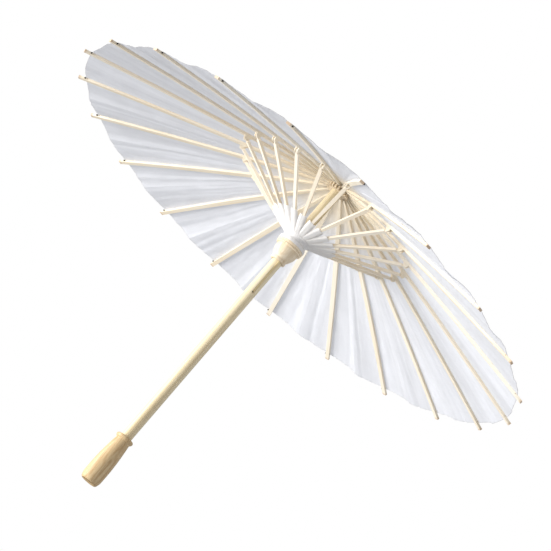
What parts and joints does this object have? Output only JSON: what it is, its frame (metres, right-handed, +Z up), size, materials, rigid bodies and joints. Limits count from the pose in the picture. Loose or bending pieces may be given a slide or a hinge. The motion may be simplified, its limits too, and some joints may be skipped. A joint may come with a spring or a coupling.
{
  "type": "oil paper parasol",
  "caption": "Open paper parasol: oiled paper on bamboo ribs, hinged stretchers, a sliding runner with a spring catch, and a turned handle.",
  "frame": {"origin": "centre of the handle's butt face", "axes": "+Z up along the shaft to the crown, +X along rib 1"},
  "size_m": [0.5978, 0.5994, 0.4404],
  "materials": {
    "paper": "matte",
    "bamboo": "satin",
    "shaft_wood": "satin",
    "turned_wood": "satin",
    "thread": "matte"
  },
  "bodies": {
    "root": {"shaft": "shaft_wood", "handle": "turned_wood", "crown_hub": "turned_wood", "crown_tie": "thread", "crown_cap": "paper", "finial": "turned_wood", "canopy": "paper", "rim_thread": "thread"},
    "catch": {"catch_spring": "bamboo"},
    "rib_01": {"rib_01": "bamboo"},
    "stretcher_01": {"stretcher_01": "bamboo"},
    "rib_02": {"rib_02": "bamboo"},
    "stretcher_02": {"stretcher_02": "bamboo"},
    "rib_03": {"rib_03": "bamboo"},
    "stretcher_03": {"stretcher_03": "bamboo"},
    "rib_04": {"rib_04": "bamboo"},
    "stretcher_04": {"stretcher_04": "bamboo"},
    "rib_05": {"rib_05": "bamboo"},
    "stretcher_05": {"stretcher_05": "bamboo"},
    "rib_06": {"rib_06": "bamboo"},
    "stretcher_06": {"stretcher_06": "bamboo"},
    "rib_07": {"rib_07": "bamboo"},
    "stretcher_07": {"stretcher_07": "bamboo"},
    "rib_08": {"rib_08": "bamboo"},
    "stretcher_08": {"stretcher_08": "bamboo"},
    "rib_09": {"rib_09": "bamboo"},
    "stretcher_09": {"stretcher_09": "bamboo"},
    "rib_10": {"rib_10": "bamboo"},
    "stretcher_10": {"stretcher_10": "bamboo"},
    "rib_11": {"rib_11": "bamboo"},
    "stretcher_11": {"stretcher_11": "bamboo"},
    "rib_12": {"rib_12": "bamboo"},
    "stretcher_12": {"stretcher_12": "bamboo"},
    "rib_13": {"rib_13": "bamboo"},
    "stretcher_13": {"stretcher_13": "bamboo"},
    "rib_14": {"rib_14": "bamboo"},
    "stretcher_14": {"stretcher_14": "bamboo"},
    "rib_15": {"rib_15": "bamboo"},
    "stretcher_15": {"stretcher_15": "bamboo"},
    "rib_16": {"rib_16": "bamboo"},
    "stretcher_16": {"stretcher_16": "bamboo"},
    "rib_17": {"rib_17": "bamboo"},
    "stretcher_17": {"stretcher_17": "bamboo"},
    "rib_18": {"rib_18": "bamboo"},
    "stretcher_18": {"stretcher_18": "bamboo"},
    "rib_19": {"rib_19": "bamboo"},
    "stretcher_19": {"stretcher_19": "bamboo"},
    "rib_20": {"rib_20": "bamboo"},
    "stretcher_20": {"stretcher_20": "bamboo"},
    "rib_21": {"rib_21": "bamboo"},
    "stretcher_21": {"stretcher_21": "bamboo"},
    "guide_upper": {"crown_knot": "thread"},
    "guide_lower": {"runner_knot": "thread"},
    "runner": {"runner": "turned_wood", "runner_tie": "thread", "stretcher_paper": "paper"}
  },
  "joints": [
    {"name": "catch_press", "type": "hinge", "parent": "root", "child": "catch", "pos_m": [0.00089, 0.00502, 0.2665], "axis": [-0.9848, 0.1736, 0], "range_deg": [-3.6, 0], "stiffness_Nm_per_rad": 0.6},
    {"name": "canopy_fold", "type": "hinge", "parent": "root", "child": "rib_01", "pos_m": [0.012, 0, 0.416], "axis": [0, 1, 0], "range_deg": [0, 69], "deforming": ["canopy", "rim_thread", "stretcher_paper", "runner_tie", "catch_spring"]},
    {"name": "swing_01", "type": "hinge", "parent": "rib_01", "child": "stretcher_01", "pos_m": [0.112, 0, 0.38713], "axis": [0, 1, 0], "range_deg": [-129.89, 1]},
    {"name": "fold_02", "type": "hinge", "parent": "root", "child": "rib_02", "pos_m": [0.01147, 0.00354, 0.416], "axis": [-0.2948, 0.9556, 0], "range_deg": [-0.5, 69.5]},
    {"name": "swing_02", "type": "hinge", "parent": "rib_02", "child": "stretcher_02", "pos_m": [0.10702, 0.03301, 0.38713], "axis": [-0.2948, 0.9556, 0], "range_deg": [-129.89, 1]},
    {"name": "fold_03", "type": "hinge", "parent": "root", "child": "rib_03", "pos_m": [0.00991, 0.00676, 0.416], "axis": [-0.5633, 0.8262, 0], "range_deg": [-0.5, 69.5]},
    {"name": "swing_03", "type": "hinge", "parent": "rib_03", "child": "stretcher_03", "pos_m": [0.09254, 0.06309, 0.38713], "axis": [-0.5633, 0.8262, 0], "range_deg": [-129.89, 1]},
    {"name": "fold_04", "type": "hinge", "parent": "root", "child": "rib_04", "pos_m": [0.00748, 0.00938, 0.416], "axis": [-0.7818, 0.6235, 0], "range_deg": [-0.5, 69.5]},
    {"name": "swing_04", "type": "hinge", "parent": "rib_04", "child": "stretcher_04", "pos_m": [0.06983, 0.08757, 0.38713], "axis": [-0.7818, 0.6235, 0], "range_deg": [-129.89, 1]},
    {"name": "fold_05", "type": "hinge", "parent": "root", "child": "rib_05", "pos_m": [0.00438, 0.01117, 0.416], "axis": [-0.9309, 0.3653, 0], "range_deg": [-0.5, 69.5]},
    {"name": "swing_05", "type": "hinge", "parent": "rib_05", "child": "stretcher_05", "pos_m": [0.04092, 0.10426, 0.38713], "axis": [-0.9309, 0.3653, 0], "range_deg": [-129.89, 1]},
    {"name": "fold_06", "type": "hinge", "parent": "root", "child": "rib_06", "pos_m": [0.0009, 0.01197, 0.416], "axis": [-0.9972, 0.0747, 0], "range_deg": [-0.5, 69.5]},
    {"name": "swing_06", "type": "hinge", "parent": "rib_06", "child": "stretcher_06", "pos_m": [0.00837, 0.11169, 0.38713], "axis": [-0.9972, 0.0747, 0], "range_deg": [-129.89, 1]},
    {"name": "fold_07", "type": "hinge", "parent": "root", "child": "rib_07", "pos_m": [-0.00267, 0.0117, 0.416], "axis": [-0.9749, -0.2225, 0], "range_deg": [-0.5, 69.5]},
    {"name": "swing_07", "type": "hinge", "parent": "rib_07", "child": "stretcher_07", "pos_m": [-0.02492, 0.10919, 0.38713], "axis": [-0.9749, -0.2225, 0], "range_deg": [-129.89, 1]},
    {"name": "fold_08", "type": "hinge", "parent": "root", "child": "rib_08", "pos_m": [-0.006, 0.01039, 0.416], "axis": [-0.866, -0.5, 0], "range_deg": [-0.5, 69.5]},
    {"name": "swing_08", "type": "hinge", "parent": "rib_08", "child": "stretcher_08", "pos_m": [-0.056, 0.097, 0.38713], "axis": [-0.866, -0.5, 0], "range_deg": [-129.89, 1]},
    {"name": "fold_09", "type": "hinge", "parent": "root", "child": "rib_09", "pos_m": [-0.0088, 0.00816, 0.416], "axis": [-0.6802, -0.7331, 0], "range_deg": [-0.5, 69.5]},
    {"name": "swing_09", "type": "hinge", "parent": "rib_09", "child": "stretcher_09", "pos_m": [-0.0821, 0.07618, 0.38713], "axis": [-0.6802, -0.7331, 0], "range_deg": [-129.89, 1]},
    {"name": "fold_10", "type": "hinge", "parent": "root", "child": "rib_10", "pos_m": [-0.01081, 0.00521, 0.416], "axis": [-0.4339, -0.901, 0], "range_deg": [-0.5, 69.5]},
    {"name": "swing_10", "type": "hinge", "parent": "rib_10", "child": "stretcher_10", "pos_m": [-0.10091, 0.0486, 0.38713], "axis": [-0.4339, -0.901, 0], "range_deg": [-129.89, 1]},
    {"name": "fold_11", "type": "hinge", "parent": "root", "child": "rib_11", "pos_m": [-0.01187, 0.00179, 0.416], "axis": [-0.149, -0.9888, 0], "range_deg": [-0.5, 69.5]},
    {"name": "swing_11", "type": "hinge", "parent": "rib_11", "child": "stretcher_11", "pos_m": [-0.11075, 0.01669, 0.38713], "axis": [-0.149, -0.9888, 0], "range_deg": [-129.89, 1]},
    {"name": "fold_12", "type": "hinge", "parent": "root", "child": "rib_12", "pos_m": [-0.01187, -0.00179, 0.416], "axis": [0.149, -0.9888, 0], "range_deg": [-0.5, 69.5]},
    {"name": "swing_12", "type": "hinge", "parent": "rib_12", "child": "stretcher_12", "pos_m": [-0.11075, -0.01669, 0.38713], "axis": [0.149, -0.9888, 0], "range_deg": [-129.89, 1]},
    {"name": "fold_13", "type": "hinge", "parent": "root", "child": "rib_13", "pos_m": [-0.01081, -0.00521, 0.416], "axis": [0.4339, -0.901, 0], "range_deg": [-0.5, 69.5]},
    {"name": "swing_13", "type": "hinge", "parent": "rib_13", "child": "stretcher_13", "pos_m": [-0.10091, -0.0486, 0.38713], "axis": [0.4339, -0.901, 0], "range_deg": [-129.89, 1]},
    {"name": "fold_14", "type": "hinge", "parent": "root", "child": "rib_14", "pos_m": [-0.0088, -0.00816, 0.416], "axis": [0.6802, -0.7331, 0], "range_deg": [-0.5, 69.5]},
    {"name": "swing_14", "type": "hinge", "parent": "rib_14", "child": "stretcher_14", "pos_m": [-0.0821, -0.07618, 0.38713], "axis": [0.6802, -0.7331, 0], "range_deg": [-129.89, 1]},
    {"name": "fold_15", "type": "hinge", "parent": "root", "child": "rib_15", "pos_m": [-0.006, -0.01039, 0.416], "axis": [0.866, -0.5, 0], "range_deg": [-0.5, 69.5]},
    {"name": "swing_15", "type": "hinge", "parent": "rib_15", "child": "stretcher_15", "pos_m": [-0.056, -0.097, 0.38713], "axis": [0.866, -0.5, 0], "range_deg": [-129.89, 1]},
    {"name": "fold_16", "type": "hinge", "parent": "root", "child": "rib_16", "pos_m": [-0.00267, -0.0117, 0.416], "axis": [0.9749, -0.2225, 0], "range_deg": [-0.5, 69.5]},
    {"name": "swing_16", "type": "hinge", "parent": "rib_16", "child": "stretcher_16", "pos_m": [-0.02492, -0.10919, 0.38713], "axis": [0.9749, -0.2225, 0], "range_deg": [-129.89, 1]},
    {"name": "fold_17", "type": "hinge", "parent": "root", "child": "rib_17", "pos_m": [0.0009, -0.01197, 0.416], "axis": [0.9972, 0.0747, 0], "range_deg": [-0.5, 69.5]},
    {"name": "swing_17", "type": "hinge", "parent": "rib_17", "child": "stretcher_17", "pos_m": [0.00837, -0.11169, 0.38713], "axis": [0.9972, 0.0747, 0], "range_deg": [-129.89, 1]},
    {"name": "fold_18", "type": "hinge", "parent": "root", "child": "rib_18", "pos_m": [0.00438, -0.01117, 0.416], "axis": [0.9309, 0.3653, 0], "range_deg": [-0.5, 69.5]},
    {"name": "swing_18", "type": "hinge", "parent": "rib_18", "child": "stretcher_18", "pos_m": [0.04092, -0.10426, 0.38713], "axis": [0.9309, 0.3653, 0], "range_deg": [-129.89, 1]},
    {"name": "fold_19", "type": "hinge", "parent": "root", "child": "rib_19", "pos_m": [0.00748, -0.00938, 0.416], "axis": [0.7818, 0.6235, 0], "range_deg": [-0.5, 69.5]},
    {"name": "swing_19", "type": "hinge", "parent": "rib_19", "child": "stretcher_19", "pos_m": [0.06983, -0.08757, 0.38713], "axis": [0.7818, 0.6235, 0], "range_deg": [-129.89, 1]},
    {"name": "fold_20", "type": "hinge", "parent": "root", "child": "rib_20", "pos_m": [0.00991, -0.00676, 0.416], "axis": [0.5633, 0.8262, 0], "range_deg": [-0.5, 69.5]},
    {"name": "swing_20", "type": "hinge", "parent": "rib_20", "child": "stretcher_20", "pos_m": [0.09254, -0.06309, 0.38713], "axis": [0.5633, 0.8262, 0], "range_deg": [-129.89, 1]},
    {"name": "fold_21", "type": "hinge", "parent": "root", "child": "rib_21", "pos_m": [0.01147, -0.00354, 0.416], "axis": [0.2948, 0.9556, 0], "range_deg": [-0.5, 69.5]},
    {"name": "swing_21", "type": "hinge", "parent": "rib_21", "child": "stretcher_21", "pos_m": [0.10702, -0.03301, 0.38713], "axis": [0.2948, 0.9556, 0], "range_deg": [-129.89, 1]},
    {"name": "guide_top", "type": "hinge", "parent": "root", "child": "guide_upper", "pos_m": [0.01478, 0.00223, 0.416], "axis": [-0.149, 0.9888, 0], "range_deg": [-0.5, 64.77]},
    {"name": "guide_middle", "type": "hinge", "parent": "guide_upper", "child": "guide_lower", "pos_m": [0.11401, 0.01718, 0.379], "axis": [-0.149, 0.9888, 0], "range_deg": [-129.55, 1]},
    {"name": "guide_bottom", "type": "hinge", "parent": "guide_lower", "child": "runner", "pos_m": [0.01478, 0.00223, 0.342], "axis": [-0.149, 0.9888, 0], "range_deg": [-0.5, 64.77]}
  ],
  "couplings": [
    {"joint": "swing_01", "follows": "canopy_fold", "ratio": -1.868},
    {"joint": "fold_02", "follows": "canopy_fold", "ratio": 1},
    {"joint": "swing_02", "follows": "canopy_fold", "ratio": -1.868},
    {"joint": "fold_03", "follows": "canopy_fold", "ratio": 1},
    {"joint": "swing_03", "follows": "canopy_fold", "ratio": -1.868},
    {"joint": "fold_04", "follows": "canopy_fold", "ratio": 1},
    {"joint": "swing_04", "follows": "canopy_fold", "ratio": -1.868},
    {"joint": "fold_05", "follows": "canopy_fold", "ratio": 1},
    {"joint": "swing_05", "follows": "canopy_fold", "ratio": -1.868},
    {"joint": "fold_06", "follows": "canopy_fold", "ratio": 1},
    {"joint": "swing_06", "follows": "canopy_fold", "ratio": -1.868},
    {"joint": "fold_07", "follows": "canopy_fold", "ratio": 1},
    {"joint": "swing_07", "follows": "canopy_fold", "ratio": -1.868},
    {"joint": "fold_08", "follows": "canopy_fold", "ratio": 1},
    {"joint": "swing_08", "follows": "canopy_fold", "ratio": -1.868},
    {"joint": "fold_09", "follows": "canopy_fold", "ratio": 1},
    {"joint": "swing_09", "follows": "canopy_fold", "ratio": -1.868},
    {"joint": "fold_10", "follows": "canopy_fold", "ratio": 1},
    {"joint": "swing_10", "follows": "canopy_fold", "ratio": -1.868},
    {"joint": "fold_11", "follows": "canopy_fold", "ratio": 1},
    {"joint": "swing_11", "follows": "canopy_fold", "ratio": -1.868},
    {"joint": "fold_12", "follows": "canopy_fold", "ratio": 1},
    {"joint": "swing_12", "follows": "canopy_fold", "ratio": -1.868},
    {"joint": "fold_13", "follows": "canopy_fold", "ratio": 1},
    {"joint": "swing_13", "follows": "canopy_fold", "ratio": -1.868},
    {"joint": "fold_14", "follows": "canopy_fold", "ratio": 1},
    {"joint": "swing_14", "follows": "canopy_fold", "ratio": -1.868},
    {"joint": "fold_15", "follows": "canopy_fold", "ratio": 1},
    {"joint": "swing_15", "follows": "canopy_fold", "ratio": -1.868},
    {"joint": "fold_16", "follows": "canopy_fold", "ratio": 1},
    {"joint": "swing_16", "follows": "canopy_fold", "ratio": -1.868},
    {"joint": "fold_17", "follows": "canopy_fold", "ratio": 1},
    {"joint": "swing_17", "follows": "canopy_fold", "ratio": -1.868},
    {"joint": "fold_18", "follows": "canopy_fold", "ratio": 1},
    {"joint": "swing_18", "follows": "canopy_fold", "ratio": -1.868},
    {"joint": "fold_19", "follows": "canopy_fold", "ratio": 1},
    {"joint": "swing_19", "follows": "canopy_fold", "ratio": -1.868},
    {"joint": "fold_20", "follows": "canopy_fold", "ratio": 1},
    {"joint": "swing_20", "follows": "canopy_fold", "ratio": -1.868},
    {"joint": "fold_21", "follows": "canopy_fold", "ratio": 1},
    {"joint": "swing_21", "follows": "canopy_fold", "ratio": -1.868},
    {"joint": "guide_top", "follows": "canopy_fold", "ratio": 0.9315},
    {"joint": "guide_middle", "follows": "canopy_fold", "ratio": -1.863},
    {"joint": "guide_bottom", "follows": "canopy_fold", "ratio": 0.9315}
  ]
}
